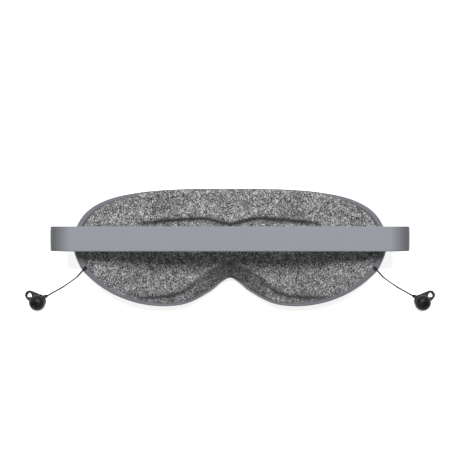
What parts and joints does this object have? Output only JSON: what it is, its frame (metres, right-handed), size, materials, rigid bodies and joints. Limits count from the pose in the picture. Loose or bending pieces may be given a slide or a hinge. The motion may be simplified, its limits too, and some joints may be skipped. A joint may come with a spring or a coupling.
{
  "type": "eye massager mask",
  "caption": "Padded over-eye massage mask with heated knit face pad, vibration motors, elastic head strap and wired earbuds, lying on its front cover.",
  "frame": {"origin": "the middle of the mask's front cover, where it lies on the table", "axes": "+X from the wearer's left temple to the right temple, +Y from the cheeks to the forehead, +Z from the front cover up through the face pad to the strap"},
  "size_m": [0.3088, 0.0901, 0.0824],
  "materials": {
    "cover_leather": "soft-touch leatherette, satin",
    "shell_plastic": "moulded, fine texture",
    "frame_plastic": "moulded",
    "pad_foam": "open-cell foam",
    "face_knit": "brushed heather knit",
    "heater_film": "polyimide film",
    "steel": "bright zinc",
    "battery_foil": "pouch foil",
    "circuit_green": "solder mask",
    "chip_black": "moulded epoxy",
    "panel_plastic": "fine matt",
    "button_rubber": "matt silicone",
    "led_lens": "frosted light pipe",
    "motor_metal": "nickel",
    "sleeve_rubber": "soft",
    "weight_metal": "sintered tungsten alloy",
    "wire_red": "silicone insulation",
    "strap_elastic": "woven elastic webbing",
    "loop_pile": "loop pile",
    "hook_pile": "moulded hooks on woven base",
    "cord_rubber": "satin",
    "bud_plastic": "satin moulded",
    "driver_metal": "plated",
    "tip_silicone": "soft satin silicone"
  },
  "bodies": {
    "mask": {"cover_skin": "cover_leather", "front_shell": "shell_plastic", "mid_frame": "frame_plastic", "foam_pad": "pad_foam", "face_fabric": "face_knit", "heater_film_left": "heater_film", "heater_film_right": "heater_film", "frame_screws": "steel", "battery_cell": "battery_foil", "main_board": "circuit_green", "board_chips": "chip_black", "usb_shell": "steel", "usb_tongue": "chip_black", "control_bezel": "panel_plastic", "button_board": "circuit_green", "tact_switches": "steel", "status_led_lens": "led_lens", "motor_can_left": "motor_metal", "motor_can_right": "motor_metal", "motor_sleeve_left": "sleeve_rubber", "motor_sleeve_right": "sleeve_rubber", "wiring_harness": "wire_red", "head_strap": "strap_elastic", "strap_bar_left": "steel", "strap_bar_right": "steel", "loop_patch_left": "loop_pile", "loop_patch_right": "loop_pile", "cord_gland_left": "cord_rubber", "cord_gland_right": "cord_rubber", "ear_cord_left": "cord_rubber", "ear_cord_right": "cord_rubber", "cord_boot_left": "cord_rubber", "cord_boot_right": "cord_rubber", "bud_housing_left": "bud_plastic", "bud_housing_right": "bud_plastic", "bud_cap_left": "bud_plastic", "bud_cap_right": "bud_plastic", "bud_driver_left": "driver_metal", "bud_driver_right": "driver_metal"},
    "power_button": {"power_button": "button_rubber"},
    "volume_up": {"volume_up_button": "button_rubber"},
    "volume_down": {"volume_down_button": "button_rubber"},
    "motor_weight_left": {"motor_weight_left": "weight_metal"},
    "strap_tab_left": {"strap_tab_left": "strap_elastic", "hook_patch_left": "hook_pile"},
    "ear_wing_left": {"ear_wing_left": "tip_silicone"},
    "ear_tip_left": {"ear_tip_left": "tip_silicone"},
    "motor_weight_right": {"motor_weight_right": "weight_metal"},
    "strap_tab_right": {"strap_tab_right": "strap_elastic", "hook_patch_right": "hook_pile"},
    "ear_wing_right": {"ear_wing_right": "tip_silicone"},
    "ear_tip_right": {"ear_tip_right": "tip_silicone"}
  },
  "joints": [
    {"name": "power_button_press", "type": "slide", "parent": "mask", "child": "power_button", "axis": [-0.515, 0, 0.8572], "range_m": [0, 0.0004], "stiffness_N_per_m": 3000},
    {"name": "volume_up_press", "type": "slide", "parent": "mask", "child": "volume_up", "axis": [-0.515, 0, 0.8572], "range_m": [0, 0.0004], "stiffness_N_per_m": 3000},
    {"name": "volume_down_press", "type": "slide", "parent": "mask", "child": "volume_down", "axis": [-0.515, 0, 0.8572], "range_m": [0, 0.0004], "stiffness_N_per_m": 3000},
    {"name": "motor_weight_spin_left", "type": "hinge", "parent": "mask", "child": "motor_weight_left", "pos_m": [-0.03688, 0.02, 0.01186], "axis": [0, 1, 0], "continuous": true},
    {"name": "strap_tab_peel_left", "type": "hinge", "parent": "mask", "child": "strap_tab_left", "pos_m": [-0.09653, 0.007, 0.03593], "axis": [0, -1, 0], "range_deg": [0, 75]},
    {"name": "ear_wing_turn_left", "type": "hinge", "parent": "mask", "child": "ear_wing_left", "pos_m": [-0.1438, -0.0405, 0.004], "axis": [0, 0, -1], "range_deg": [-12, 12]},
    {"name": "ear_tip_pull_left", "type": "slide", "parent": "mask", "child": "ear_tip_left", "axis": [-0.1863, -0.2868, 0.9397], "range_m": [0, 0.006]},
    {"name": "motor_weight_spin_right", "type": "hinge", "parent": "mask", "child": "motor_weight_right", "pos_m": [0.03688, 0.02, 0.01186], "axis": [0, 1, 0], "continuous": true},
    {"name": "strap_tab_peel_right", "type": "hinge", "parent": "mask", "child": "strap_tab_right", "pos_m": [0.09653, 0.007, 0.03593], "axis": [0, 1, 0], "range_deg": [0, 75]},
    {"name": "ear_wing_turn_right", "type": "hinge", "parent": "mask", "child": "ear_wing_right", "pos_m": [0.1438, -0.0405, 0.004], "axis": [0, 0, 1], "range_deg": [-12, 12]},
    {"name": "ear_tip_pull_right", "type": "slide", "parent": "mask", "child": "ear_tip_right", "axis": [0.1863, -0.2868, 0.9397], "range_m": [0, 0.006]}
  ]
}
